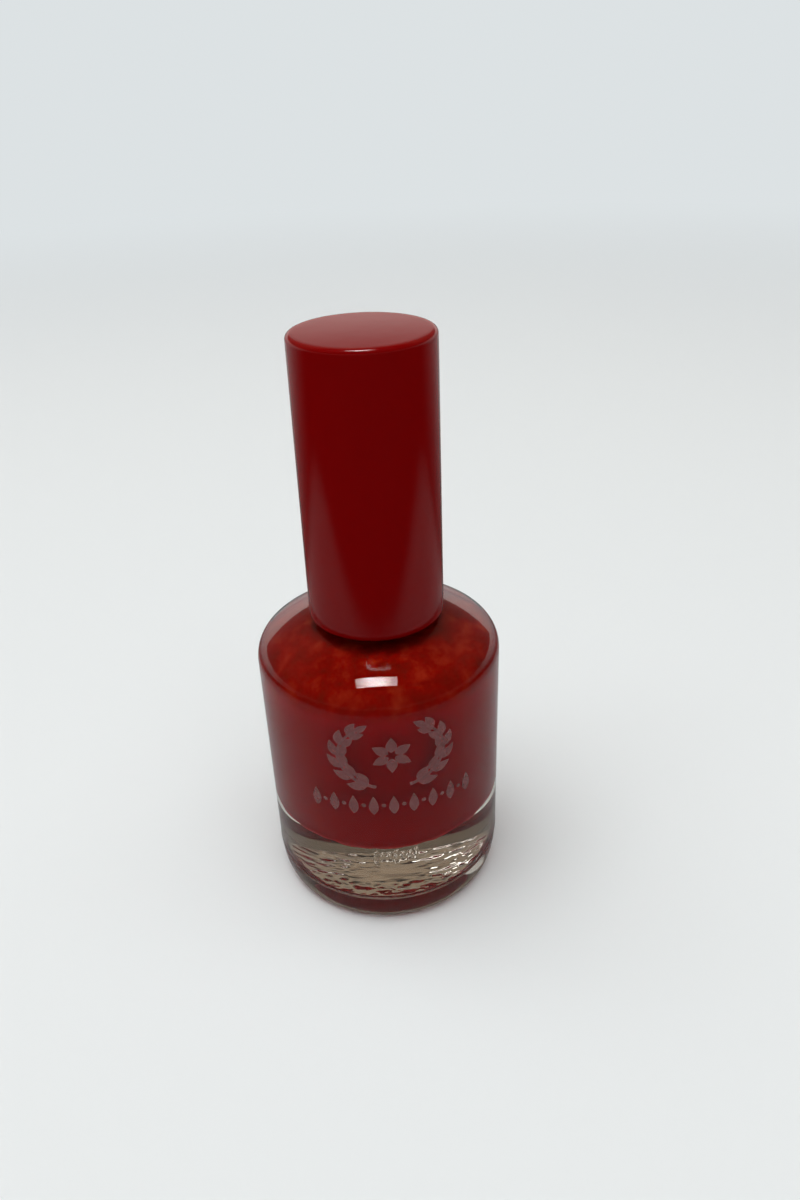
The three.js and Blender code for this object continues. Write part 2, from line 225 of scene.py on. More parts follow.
def object_noise(tree, scale, detail=4.0, roughness=0.5, stretch=(1, 1, 1)):
    """Noise in the object's own coordinates; scale is per metre."""
    place = node(tree, "ShaderNodeTexCoord")
    size = node(tree, "ShaderNodeMapping")
    size.inputs["Scale"].default_value = stretch
    cloud = node(tree, "ShaderNodeTexNoise", Scale=scale, Detail=detail, Roughness=roughness)
    tree.links.new(place.outputs["Object"], size.inputs["Vector"])
    tree.links.new(size.outputs["Vector"], cloud.inputs["Vector"])
    return cloud.outputs["Fac"]


def ramp(tree, source, stops):
    """Colour from a ramp with stops of (position, rgb or grey)."""
    made = tree.nodes.new("ShaderNodeValToRGB")
    elements = made.color_ramp.elements
    while len(elements) < len(stops):
        elements.new(0.5)
    for element, (position, value) in zip(elements, stops):
        colour = (value,) * 3 if isinstance(value, (int, float)) else value
        element.position = position
        element.color = (*colour, 1)
    tree.links.new(source, made.inputs["Fac"])
    return made.outputs["Color"]


def bump(tree, shader, height, strength, distance, socket="Normal"):
    """Small relief on a shader's normal; distance is its height in metres."""
    made = node(tree, "ShaderNodeBump", Strength=strength, Distance=distance)
    tree.links.new(height, made.inputs["Height"])
    tree.links.new(made.outputs["Normal"], shader.inputs[socket])


def set_all(shader, **values):
    """Sets sockets by name, with _ for each space in the name."""
    for key, value in values.items():
        shader.inputs[key.replace("_", " ")].default_value = value


def axis_value(tree, axis, source="Object"):
    """X, Y or Z of the place, or for a world of the direction, that is shaded."""
    place = node(tree, "ShaderNodeTexCoord")
    split = node(tree, "ShaderNodeSeparateXYZ")
    tree.links.new(place.outputs[source], split.inputs["Vector"])
    return split.outputs[axis]


def distance_out(tree, stretch=(1, 1, 1)):
    """Distance from the object's origin, with each axis multiplied by stretch."""
    place = node(tree, "ShaderNodeTexCoord")
    shape = node(tree, "ShaderNodeMapping")
    shape.inputs["Scale"].default_value = stretch
    length = node(tree, "ShaderNodeVectorMath", operation="LENGTH")
    tree.links.new(place.outputs["Object"], shape.inputs["Vector"])
    tree.links.new(shape.outputs["Vector"], length.inputs[0])
    return length.outputs["Value"]


def math_value(tree, operation, *terms):
    """Result of one Math node; a term is a number or a socket."""
    made = node(tree, "ShaderNodeMath", operation=operation)
    for term, socket in zip(terms, made.inputs):
        if isinstance(term, (int, float)):
            socket.default_value = term
        else:
            tree.links.new(term, socket)
    return made.outputs["Value"]


def span(tree, source, smooth=False, **limits):
    """Takes From_Min..From_Max to To_Min..To_Max, each of which is 0..1 unless given."""
    kind = "SMOOTHSTEP" if smooth else "LINEAR"
    made = node(tree, "ShaderNodeMapRange", interpolation_type=kind)
    set_all(made, **limits)
    tree.links.new(source, made.inputs["Value"])
    return made.outputs["Result"]


def mixed_surface(tree, amount, first, second):
    """Makes the material's surface a mix of two shaders."""
    mix = node(tree, "ShaderNodeMixShader")
    tree.links.new(amount, mix.inputs["Fac"])
    tree.links.new(first, mix.inputs[1])
    tree.links.new(second, mix.inputs[2])
    tree.links.new(mix.outputs["Shader"], tree.nodes["Material Output"].inputs["Surface"])


# ---------------------------------------------------------------- materials
BACKDROP_TONE = (0.72, 0.76, 0.775)
PAPER_TONE = (0.77, 0.81, 0.82)
PAPER_NEAR = 0.15
PAPER_FAR = 0.7
# Card that paints a dark reflection of the room into the cap and the glass.
CARD_HALF_X = 145 * MM
CARD_HALF_Y = 66 * MM
CARD_CLEAR = 0.5
CARD_BACK_Y = 0.30
FILM_EDGE_LOW_Z = SHOULDER_Z - 2.0 * MM
FILM_EDGE_HIGH_Z = SHOULDER_Z - 0.2 * MM
# Heights over which the floor of the liquid is painted paler red, as painted light for its dim underside.
PAINTED_LIGHT_LOW_Z = FLOOR_Z + 0.3 * MM
PAINTED_LIGHT_HIGH_Z = FLOOR_Z + 1.2 * MM


def clear_glass():
    """Clear glass, warm where it is thick, with a frosted line where the mould's parts met."""
    mat, tree, shader = new_material("clear_glass")
    set_all(shader, Base_Color=(0.97, 0.975, 0.97, 1), IOR=1.5, Transmission_Weight=1.0)
    set_all(shader, Specular_Tint=(0.22, 0.22, 0.22, 1))
    bump(tree, shader, object_noise(tree, 150, 2.0), 0.14, 0.03 * MM)
    from_seam = math_value(tree, "SUBTRACT", axis_value(tree, "Z"), SEAM_Z)
    from_seam = math_value(tree, "ABSOLUTE", from_seam)
    frost = span(tree, from_seam, From_Min=1.5 * SEAM_HALF, From_Max=0.5 * SEAM_HALF, To_Max=0.9)
    tree.links.new(frost, shader.inputs["Roughness"])
    tint = node(tree, "ShaderNodeVolumeAbsorption", Color=(0.66, 0.60, 0.44, 1), Density=22.0)
    tree.links.new(tint.outputs["Volume"], tree.nodes["Material Output"].inputs["Volume"])
    return mat


def lacquer_red():
    """Wet lacquer against the glass: a mottled film at the shoulder, and painted light at the floor of the
    liquid, whose underside seen through the base is painted paler red.
    """
    mat, tree, shader = new_material("red_lacquer")
    set_all(shader, Roughness=0.35, Specular_IOR_Level=0.0)
    film = ramp(tree, object_noise(tree, 420, 5.0, 0.6), [
        (0.30, (0.125, 0.005, 0.002)),
        (0.50, (0.185, 0.003, 0.001)),
        (0.75, (0.25, 0.018, 0.006)),
    ])
    height = axis_value(tree, "Z")
    level = span(tree, height, From_Min=FILM_EDGE_LOW_Z, From_Max=FILM_EDGE_HIGH_Z)
    depth = span(tree, height, From_Min=PAINTED_LIGHT_LOW_Z, From_Max=PAINTED_LIGHT_HIGH_Z)
    # Painted light: the bottom millimetre of the liquid is paler red, so that its underside seen through
    # the base looks lit.
    red_with_painted_floor_light = ramp(tree, depth, [(0.0, (0.55, 0.05, 0.05)), (1.0, (0.29, 0.006, 0.008))])
    blend = node(tree, "ShaderNodeMix", data_type="RGBA")
    tree.links.new(red_with_painted_floor_light, blend.inputs["A"])
    tree.links.new(level, blend.inputs["Factor"])
    tree.links.new(film, blend.inputs["B"])
    tree.links.new(blend.outputs["Result"], shader.inputs["Base Color"])
    return mat


def wet_lacquer():
    """Fresh lacquer on the bristles: deep red with a wet skin."""
    mat, tree, shader = new_material("wet_lacquer")
    set_all(shader, Roughness=0.3, Specular_IOR_Level=0.3, Coat_Weight=1.0, Coat_Roughness=0.03)
    streaks = object_noise(tree, 900, 4.0, stretch=(1, 1, 0.2))
    depth = ramp(tree, streaks, [(0.3, (0.16, 0.001, 0.002)), (0.7, (0.30, 0.004, 0.004))])
    tree.links.new(depth, shader.inputs["Base Color"])
    bump(tree, shader, streaks, 0.3, 0.05 * MM)
    return mat


def cap_gloss():
    """Dark red plastic under a glossy clear coat with a slight orange peel."""
    mat, tree, shader = new_material("cap_red")
    set_all(shader, Base_Color=(0.19, 0.0003, 0.0006, 1), Roughness=0.3, Specular_IOR_Level=0.0)
    set_all(shader, Coat_Weight=0.46, Coat_IOR=1.5, Coat_Roughness=0.1)
    peel = object_noise(tree, 420, 3.0, stretch=(1, 1, 0.25))
    bump(tree, shader, peel, 0.12, 0.03 * MM, "Coat Normal")
    return mat


def moulded_plastic(name, colour, rough=0.38):
    """Pale moulded plastic that lets a little light in."""
    mat, tree, shader = new_material(name)
    set_all(shader, Base_Color=(*colour, 1), Subsurface_Weight=0.2, Subsurface_Scale=1.0 * MM)
    set_all(shader, Subsurface_Radius=(1.0, 0.8, 0.6))
    cloud = object_noise(tree, 1500, 4.0)
    grain = ramp(tree, cloud, [(0.35, rough - 0.06), (0.7, rough + 0.08)])
    tree.links.new(grain, shader.inputs["Roughness"])
    bump(tree, shader, cloud, 0.12, 0.03 * MM)
    return mat


def seal_foam():
    """Fine closed-cell foam."""
    mat, tree, shader = new_material("seal_foam")
    set_all(shader, Roughness=0.75)
    cells = object_noise(tree, 5200, 3.0, 0.7)
    shade = ramp(tree, cells, [(0.3, (0.45, 0.47, 0.47)), (0.7, (0.70, 0.72, 0.72))])
    tree.links.new(shade, shader.inputs["Base Color"])
    bump(tree, shader, cells, 0.4, 0.04 * MM)
    return mat


def polished_steel():
    """Bright steel with faint scuffs."""
    mat, tree, shader = new_material("polished_steel")
    set_all(shader, Base_Color=(0.62, 0.63, 0.65, 1), Metallic=1.0)
    scuff = ramp(tree, object_noise(tree, 2600, 3.0), [(0.4, 0.07), (0.8, 0.24)])
    tree.links.new(scuff, shader.inputs["Roughness"])
    return mat


def bristle_nylon():
    """Black nylon, stained red towards the wet end."""
    mat, tree, shader = new_material("black_bristle")
    set_all(shader, Roughness=0.35, Coat_Weight=0.6, Coat_Roughness=0.1)
    level = span(tree, axis_value(tree, "Z"), From_Min=TUFT_LOW.z + 5 * MM, From_Max=TUFT_LOW.z + 13 * MM)
    wet = ramp(tree, level, [(0.0, (0.13, 0.003, 0.005)), (1.0, (0.02, 0.008, 0.008))])
    tree.links.new(wet, shader.inputs["Base Color"])
    return mat


def print_ink():
    """Thin matt ink that the red shows through."""
    mat, tree, shader = new_material("print_ink")
    set_all(shader, Roughness=0.42, Alpha=0.62)
    body = ramp(tree, object_noise(tree, 2400, 3.0), [(0.3, (0.23, 0.07, 0.07)), (0.7, (0.30, 0.10, 0.10))])
    tree.links.new(body, shader.inputs["Base Color"])
    return mat


def floor_paper():
    """Pale paper. Far from the bottle it takes the tone of the backdrop, so that no horizon shows."""
    mat, tree, shader = new_material("floor_paper")
    set_all(shader, Base_Color=(*PAPER_TONE, 1), Roughness=0.8, Specular_IOR_Level=0.1)
    bump(tree, shader, object_noise(tree, 900, 4.0), 0.08, 0.1 * MM)
    far = span(tree, distance_out(tree), smooth=True, From_Min=PAPER_NEAR, From_Max=PAPER_FAR)
    glow = node(tree, "ShaderNodeEmission", Color=(*BACKDROP_TONE, 1), Strength=1.0)
    mixed_surface(tree, far, shader.outputs["BSDF"], glow.outputs["Emission"])
    return mat


def backdrop_paper():
    """Even tone with no shading."""
    mat, tree, shader = new_material("backdrop")
    tree.nodes.remove(shader)
    glow = node(tree, "ShaderNodeEmission", Color=(*BACKDROP_TONE, 1), Strength=1.0)
    tree.links.new(glow.outputs["Emission"], tree.nodes["Material Output"].inputs["Surface"])
    return mat


def painted_dark_reflection():
    """Painted dark reflection of the room in front of the bottle, on a card that only reflections see: half
    clear near the bottle, clear behind it, and black further out at the front.
    """
    mat, tree, shader = new_material("painted_dark_reflection")
    tree.nodes.remove(shader)
    out = distance_out(tree, (1 / CARD_HALF_X, 1 / CARD_HALF_Y, 1))
    edge = span(tree, out, smooth=True, From_Min=0.90, From_Max=1.25, To_Min=CARD_CLEAR)
    front = span(tree, axis_value(tree, "Y"), smooth=True, From_Min=CARD_BACK_Y, From_Max=0.0)
    cover = math_value(tree, "MULTIPLY", edge, front)
    clear = node(tree, "ShaderNodeBsdfTransparent")
    black = node(tree, "ShaderNodeBsdfDiffuse", Color=(0.004, 0.004, 0.004, 1))
    mixed_surface(tree, cover, clear.outputs["BSDF"], black.outputs["BSDF"])
    return mat


MATERIALS = {
    "glass": clear_glass(),
    "lacquer": lacquer_red(),
    "cap": cap_gloss(),
    "insert": moulded_plastic("white_polypropylene", (0.80, 0.79, 0.75)),
    "stem": moulded_plastic("stem_polyethylene", (0.78, 0.77, 0.74), 0.32),
    "foam": seal_foam(),
    "steel": polished_steel(),
    "bristle": bristle_nylon(),
    "ink": print_ink(),
    "floor": floor_paper(),
    "card": painted_dark_reflection(),
    "backdrop": backdrop_paper(),
    "wet": wet_lacquer(),
}


# ---------------------------------------------------------------- shared outlines
def dome_angle(radius, inset):
    """Angle on the dome, in degrees, at a radius; inset is the depth inside the outer surface."""
    return math.degrees(math.acos((radius - DOME_C.x) / (DOME_R - inset)))


def dome_height(radius, inset):
    """Height of the dome at a radius."""
    return DOME_C.y + math.sqrt((DOME_R - inset) ** 2 - (radius - DOME_C.x) ** 2)


def edge_arc(inset):
    """Centre, radius and end angle of the arc at the top of the wall, rounder on the inside."""
    radius = INNER_EDGE_R + WALL - inset if inset > 0 else EDGE_R
    centre_r = BODY_R - inset - radius
    reach = DOME_R - inset - radius
    end = math.acos((centre_r - DOME_C.x) / reach)
    return centre_r, DOME_C.y + reach * math.sin(end), radius, math.degrees(end)


def shoulder(radius, inset, edge_steps, dome_steps):
    """Shoulder from the wall up to a radius on the dome."""
    centre_r, centre_z, edge_r, edge_end = edge_arc(inset)
    return joined(
        arc(centre_r, centre_z, edge_r, 0, edge_end, edge_steps),
        arc(DOME_C.x, DOME_C.y, DOME_R - inset, edge_end, dome_angle(radius, inset), dome_steps),
    )


def curve3(a, b, c, steps):
    """Quadratic curve from a to c, bent towards b."""
    points = []
    for i in range(steps + 1):
        t = i / steps
        points.append(tuple(
            (1 - t) ** 2 * a[k] + 2 * t * (1 - t) * b[k] + t * t * c[k] for k in (0, 1)
        ))
    return points


# ---------------------------------------------------------------- glass bottle
def heel():
    """Full curve from the standing ring up to the wall."""
    low_r = BODY_R - HEEL_W
    corners = (
        (low_r, 0),
        (low_r + HEEL_W * HEEL_FULLNESS, 0),
        (BODY_R, HEEL_H * (1 - HEEL_FULLNESS)),
        (BODY_R, HEEL_H),
    )
    steps = 110
    points = []
    for i in range(steps + 1):
        t = i / steps
        weights = ((1 - t) ** 3, 3 * t * (1 - t) ** 2, 3 * t * t * (1 - t), t ** 3)
        points.append(tuple(sum(w * c[k] for w, c in zip(weights, corners)) for k in (0, 1)))
    return points


def glass_outside():
    """Outer side of the glass, from the middle of the push-up to the lip."""
    ring_out = BODY_R - HEEL_W
    ring_in = ring_out - RING_W
    step_top = (PUSH_UP_FLAT_R - STEP_WIDTH, PUSH_UP_FLAT_Z + STEP_HALF_RISE)
    step_foot = (PUSH_UP_FLAT_R, PUSH_UP_FLAT_Z - STEP_HALF_RISE)
    even_z = FLOOR_Z + 3 * MM
    neck_foot_z = COLLAR_TOP_Z + COLLAR_SLOPE_H
    dome_end = DOME_C.x + DOME_R * math.sin(FOOT_SLOPE)
    foot = (dome_end, dome_height(dome_end, 0))
    root = (COLLAR_R, foot[1] + (dome_end - COLLAR_R) * math.tan(FOOT_SLOPE))
    return joined(
        [(0, PUSH_UP)],
        line((0, PUSH_UP), step_top, 44),
        line(step_top, step_foot, 2),
        line(step_foot, (ring_in, 0), 16),
        line((ring_in, 0), (ring_out, 0), 8),
        heel(),
        line((BODY_R, HEEL_H), (BODY_R, even_z), 50),
        line((BODY_R, even_z), (BODY_R, SHOULDER_Z), 20),
        shoulder(dome_end, 0, 16, 24),
        curve3(foot, root, (COLLAR_R, FILLET_TOP_Z), 10),
        line((COLLAR_R, FILLET_TOP_Z), (COLLAR_R, COLLAR_TOP_Z), 2),
        line((COLLAR_R, COLLAR_TOP_Z), (NECK_R, neck_foot_z), 3),
        line((NECK_R, neck_foot_z), (NECK_R, LIP_Z - LIP_R), 72),
        arc(NECK_R - LIP_R, LIP_Z - LIP_R, LIP_R, 0, 90, 8),
    )


def glass_inside():
    """Inner side of the glass, from the lip down to the middle of the floor."""
    down = list(reversed(shoulder(BORE_R, WALL, 12, 30)))
    corner = INNER_R - FLOOR_CORNER
    return joined(
        arc(BORE_R + LIP_R, LIP_Z - LIP_R, LIP_R, 90, 180, 8),
        line((BORE_R, LIP_Z - LIP_R), (BORE_R, dome_height(BORE_R, WALL)), 8),
        down,
        line(down[-1], (INNER_R, FLOOR_Z + FLOOR_CORNER), 24),
        arc(corner, FLOOR_Z + FLOOR_CORNER, FLOOR_CORNER, 0, -90, 20),
        line((corner, FLOOR_Z), (0, FLOOR_Z), 30),
    )


def thread_depth(angle, height, start_z, bead_r, centre_r):
    """Half width, at a place on a wall, of the round thread bead that winds along it."""
    best = 0.0
    length = THREAD_TURNS * TAU
    for turn in (-1, 0, 1, 2):
        along = angle + turn * TAU
        near = min(max(along, 0), length)
        centre = start_z + THREAD_PITCH * near / TAU
        beyond = abs(along - near) * centre_r
        across = (height - centre) ** 2 + beyond ** 2
        if across < bead_r ** 2:
            best = max(best, math.sqrt(bead_r ** 2 - across))
    return best


TICK_Z = 12.1 * MM
TICK_COUNT = 7
TICK_STEP = math.radians(3.1)
TICK_TALL = 1.1 * MM
TICK_SHORT = 0.7 * MM
TICK_HALF_WIDTH = 0.27 * MM
TICK_RISE = 0.10 * MM
MARKS_TOP_Z = 15 * MM


def tick_rise(angle, height):
    """Raised ticks low on the front, moulded in the glass: a plain scale, every third tick longer."""
    offset = (angle + math.pi / 2 - MARK_TURN + math.pi) % TAU - math.pi
    nearest = round(offset / TICK_STEP)
    if abs(nearest) > TICK_COUNT // 2:
        return 0.0
    tall = TICK_TALL if nearest % 3 == 0 else TICK_SHORT
    across = abs(offset - nearest * TICK_STEP) * BODY_R / TICK_HALF_WIDTH
    along = abs(height - TICK_Z) / tall
    fade = max(0.0, 1 - across ** 2) * max(0.0, 1 - along ** 4)
    return TICK_RISE * fade


def mould_seam(height):
    """Fine raised line where the bottom plate of the mould met its sides."""
    return SEAM_RISE * max(0.0, 1 - ((height - SEAM_Z) / (2 * SEAM_HALF)) ** 2)


SLOW_SCALE = 260
STIPPLE_SCALE = 900
STIPPLE_PLACE = Vector((5, 9, 2))
STIPPLE_START_R = 1.2 * MM
STIPPLE_FULL_WIDTH = 4.0 * MM
STIPPLE_H = 0.09 * MM


def base_wave(point, radius):
    """Pressed underside: slow waves all over it, and a coarse stipple on the outer part of its flat."""
    slow = noise.fractal(point * SLOW_SCALE, 0.9, 2.0, 2)
    if radius > PUSH_UP_FLAT_R - 0.2 * MM:
        return 0.008 * MM * slow
    stipple = noise.fractal(point * STIPPLE_SCALE + STIPPLE_PLACE, 0.7, 2.0, 2)
    outer = min(1.0, max(0.0, (radius - STIPPLE_START_R) / STIPPLE_FULL_WIDTH))
    return 0.03 * MM * slow + STIPPLE_H * outer * stipple


def floor_wave(point):
    """Uneven glass at the floor of the bottle, as the plunger leaves it."""
    edge = max(0.0, 1 - abs(math.hypot(point.x, point.y) - 0.8 * INNER_R) / (0.5 * INNER_R))
    wave = noise.fractal(point * SLOW_SCALE, 0.8, 2.0, 3) * (0.35 + edge)
    return max(-0.5 * MM, min(0.15 * MM, 0.34 * MM * wave - 0.05 * MM))


RING_WAVE = 0.02 * MM
RING_SCALE = 400


def glass_bend(radius, angle, height, outside):
    """Thread, moulded ticks and the slight waviness of pressed glass."""
    point = Vector((radius * math.cos(angle), radius * math.sin(angle), height))
    if outside and height > COLLAR_TOP_Z + COLLAR_SLOPE_H and radius > NECK_R - TOUCH:
        depth = thread_depth(angle, height, THREAD_Z, THREAD_BEAD_R, THREAD_CENTRE_R)
        return max(radius, THREAD_CENTRE_R + depth if depth else 0), height
    if outside and radius > BODY_R - 1 * MM and height < MARKS_TOP_Z:
        return radius + tick_rise(angle, height) + mould_seam(height), height
    if not outside and height < FLOOR_Z + FLOOR_CORNER:
        return radius, height + floor_wave(point)
    ring_in = BODY_R - HEEL_W - RING_W
    if outside and radius < ring_in - TOUCH and height < PUSH_UP + TOUCH:
        return radius, max(RING_WAVE, height + base_wave(point, radius))
    if outside and height < TOUCH:
        return radius, RING_WAVE * max(0.0, noise.noise(point * RING_SCALE))
    return radius, height


def front_angles(coarse, fine, half_width):
    """Angles round the bottle, closer together at the front where the small marks are."""
    front = -math.pi / 2
    angles = []
    angle = -math.pi
    while angle < math.pi - TOUCH:
        angles.append(angle)
        near = abs((angle - front + math.pi) % TAU - math.pi) < half_width
        angle += fine if near else coarse
    if TAU - (angles[-1] - angles[0]) < fine / 2:
        angles.pop()
    return angles


def build_glass():
    """The whole bottle as one turned skin, outside and inside."""
    outside = glass_outside()
    inside = glass_inside()
    outline = joined(outside, inside)
    angles = front_angles(math.radians(1.4), math.radians(0.35), math.radians(19))

    def bend(radius, angle, height, index):
        """Tells the two sides of the glass apart by their place in the outline."""
        return glass_bend(radius, angle, height, index < len(outside))

    glass = lathe("glass_body", outline, MATERIALS["glass"], angles, bend)
    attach(glass, "bottle")
    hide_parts("glass_bottle")


# ---------------------------------------------------------------- lacquer
WETTING = 0.015 * MM
FILM = 0.12 * MM
FILM_TOP_Z = 44.5 * MM


def on_uneven_floor(radius, angle, height, index):
    """Moves the underside of the liquid with the floor of the glass."""
    if height < FLOOR_Z + FLOOR_CORNER:
        point = Vector((radius * math.cos(angle), radius * math.sin(angle), height + WETTING))
        return radius, height + floor_wave(point)
    return radius, height


def build_lacquer():
    """The liquid wets the glass, and a film of it clings under the shoulder and in the neck."""
    inset = WALL - WETTING
    corner = INNER_R - FLOOR_CORNER
    bottom = FLOOR_Z - WETTING
    surface_z = dome_height(LIQUID_TOP_R, inset)
    film = WALL + FILM
    top = shoulder(BORE_R + WETTING, inset, 12, 36)
    skin = joined(
        line((0, bottom), (corner, bottom), 30),
        arc(corner, FLOOR_Z + FLOOR_CORNER, FLOOR_CORNER + WETTING, -90, 0, 20),
        line((INNER_R + WETTING, FLOOR_Z + FLOOR_CORNER), top[0], 24),
        top,
        line((BORE_R + WETTING, dome_height(BORE_R, inset)), (BORE_R + WETTING, FILM_TOP_Z), 14),
    )
    inner = [
        (radius, dome_height(radius, film))
        for radius in [BORE_R - FILM + (LIQUID_TOP_R - BORE_R) * i / 16 for i in range(17)]
    ]
    outline = joined(
        [(0, bottom)],
        skin,
        line((BORE_R - FILM, FILM_TOP_Z - FILM), (BORE_R - FILM, inner[0][1]), 14),
        inner,
        line((inner[-1][0], surface_z - FILM), (0, surface_z - FILM), 14),
    )
    lacquer = lathe("lacquer_fill", outline, MATERIALS["lacquer"], 256, on_uneven_floor)
    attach(lacquer, "bottle")
    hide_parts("lacquer")


# ---------------------------------------------------------------- cap
CAP_EDGE = 0.6 * MM
CAP_BORE_R = 7.6 * MM
CAP_ROOF = 1.6 * MM
CAP_TOP_R = 8.3 * MM
CAP_BORE_TAPER = 0.1 * MM
CAP_CORNER_R = 1 * MM
CAP_RIM_EASE = 0.4 * MM
CAP_RIM_R = 0.22 * MM


def build_cap():
    """Tall shell that narrows slightly upwards, hollow to its roof."""
    roof_z = CAP_TOP_Z - CAP_ROOF
    corner_z = roof_z - CAP_CORNER_R
    corner = CAP_BORE_R - CAP_BORE_TAPER - CAP_CORNER_R
    ease_z = CAP_RIM_Z + CAP_RIM_EASE
    lip = CAP_RIM_R
    outline = joined(
        [(0, roof_z)],
        line((0, roof_z), (corner, roof_z), 6),
        arc(corner, corner_z, CAP_CORNER_R, 90, 0, 8),
        line((CAP_BORE_R - CAP_BORE_TAPER, corner_z), (CAP_BORE_R, ease_z), 20),
        curve3((CAP_BORE_R, ease_z), (CAP_BORE_R, CAP_RIM_Z), (CAP_BORE_R + 0.3 * MM, CAP_RIM_Z), 5),
        arc(CAP_R - lip, CAP_RIM_Z + lip, lip, -90, 0, 6),
        line((CAP_R, CAP_RIM_Z + lip), (CAP_TOP_R, CAP_TOP_Z - CAP_EDGE), 60),
        arc(CAP_TOP_R - CAP_EDGE, CAP_TOP_Z - CAP_EDGE, CAP_EDGE, 0, 90, 24),
        line((CAP_TOP_R - CAP_EDGE, CAP_TOP_Z), (0, CAP_TOP_Z), 16),
    )
    cap = lathe("cap_shell", outline, MATERIALS["cap"], 256)
    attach(cap, "cap")
    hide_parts("outer_cap")


# ---------------------------------------------------------------- insert, gasket and stem
INSERT_BORE_R = 6.7 * MM
INSERT_WALL_R = 7.3 * MM
INSERT_ROOF = 1.2 * MM
INSERT_RIBS = 12
RIB_HALF = 0.45 * MM
RIB_RISE = 0.2 * MM
RIB_FLANK = 0.16 * MM
RIB_END = 1.0 * MM
CAP_BEAD_R = 0.55 * MM
CAP_BEAD_CENTRE_R = 6.65 * MM
SOCKET_R = 5.4 * MM
SOCKET_H = 3.0 * MM
SOCKET_BORE_R = 4.6 * MM
SNAP_R = 4.2 * MM
SNAP_HALF_H = 0.35 * MM
SNAP_GAP = 0.55 * MM
STEM_HOLE_R = 2.5 * MM
STEM_R = 2.4 * MM
STEM_FLANGE_R = 4.4 * MM
STEM_FLANGE = 1.0 * MM
STEM_TIP_R = 1.5 * MM
STEM_TOP_R = 1.9 * MM
STEM_NECK_LOW_Z = 44.6 * MM
STEM_NECK_HIGH_Z = 45.6 * MM
STEM_BEAD_Z = 46.6 * MM
STEM_BEAD_HALF_H = 0.5 * MM
STEM_BEAD_PULL_R = 3.2 * MM
STEM_SPIGOT_H = 1.5 * MM
TUFT_SOCKET_R = 1.15 * MM
TUFT_SOCKET = 4.2 * MM


def build_insert():
    """Threaded insert: the bore carries the thread bead and the outside twelve gripping ribs."""
    low = INSERT_LOW.z
    top = INSERT_HIGH.z - SOCKET_H
    roof = top - INSERT_ROOF
    snap = top + STEM_FLANGE + SNAP_GAP
    snap_top = (SOCKET_BORE_R, snap + SNAP_HALF_H)
    snap_low = (SOCKET_BORE_R, snap - SNAP_HALF_H)
    soft = 0.15 * MM
    inside = joined(
        line((STEM_HOLE_R, top - soft), (STEM_HOLE_R, roof), 4),
        line((STEM_HOLE_R, roof), (INSERT_BORE_R, roof), 10),
        line((INSERT_BORE_R, roof), (INSERT_BORE_R, low + 2 * soft), 84),
    )
    outside = joined(
        arc(INSERT_BORE_R + 2 * soft, low + 2 * soft, 2 * soft, 180, 270, 4),
        arc(INSERT_WALL_R - soft, low + soft, soft, -90, 0, 4),
        line((INSERT_WALL_R, low + soft), (INSERT_WALL_R, top - soft), 44),
        arc(INSERT_WALL_R - soft, top - soft, soft, 0, 90, 4),
        line((INSERT_WALL_R - soft, top), (SOCKET_R, top), 6),
        line((SOCKET_R, top), (SOCKET_R, top + SOCKET_H - soft), 8),
        arc(SOCKET_R - soft, top + SOCKET_H - soft, soft, 0, 90, 3),
        arc(SOCKET_BORE_R + soft, top + SOCKET_H - soft, soft, 90, 180, 3),
        line((SOCKET_BORE_R, top + SOCKET_H - soft), snap_top, 4),
        curve3(snap_top, (2 * SNAP_R - SOCKET_BORE_R, snap), snap_low, 8),
        line(snap_low, (SOCKET_BORE_R, top), 4),
        line((SOCKET_BORE_R, top), (STEM_HOLE_R + soft, top), 6),
    )

    def bend(radius, angle, height, index):
        """Thread bead in the bore and ribs on the outer wall."""
        if abs(radius - INSERT_BORE_R) < TOUCH and height < roof - TOUCH:
            start = THREAD_Z - THREAD_PITCH / 2
            depth = thread_depth(angle, height, start, CAP_BEAD_R, CAP_BEAD_CENTRE_R)
            return min(radius, CAP_BEAD_CENTRE_R - depth if depth else radius), height
        if abs(radius - INSERT_WALL_R) < TOUCH:
            pitch = TAU / INSERT_RIBS
            across = abs((angle + pitch / 2) % pitch - pitch / 2) * INSERT_WALL_R
            side = min(1.0, max(0.0, (RIB_HALF + RIB_FLANK / 2 - across) / RIB_FLANK))
            ends = min(height - low - RIB_END, top - RIB_END - height) / (0.4 * MM)
            return radius + RIB_RISE * side * min(1.0, max(0.0, ends + 0.5)), height
        return radius, height

    insert = lathe("insert_shell", joined(inside, outside), MATERIALS["insert"], 360, bend, closed=True)
    sharpen(insert, 50)
    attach(insert, "cap")
    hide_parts("inner_cap")


def build_gasket():
    """Flat soft washer with rounded edges."""
    low, high = GASKET_LOW.z, GASKET_HIGH.z
    rim = GASKET_HIGH.x
    hole = 2.55 * MM
    soft = 0.12 * MM
    outline = joined(
        arc(hole + soft, low + soft, soft, 180, 270, 4),
        line((hole + soft, low), (rim - soft, low), 12),
        arc(rim - soft, low + soft, soft, -90, 0, 4),
        line((rim, low + soft), (rim, high - soft), 3),
        arc(rim - soft, high - soft, soft, 0, 90, 4),
        line((rim - soft, high), (hole + soft, high), 12),
        arc(hole + soft, high - soft, soft, 90, 180, 4),
        line((hole, high - soft), (hole, low + soft), 3)[:-1],
    )
    washer = lathe("foam_washer", outline, MATERIALS["foam"], 160, closed=True)
    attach(washer, "seal")
    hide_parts("sealing_gasket")


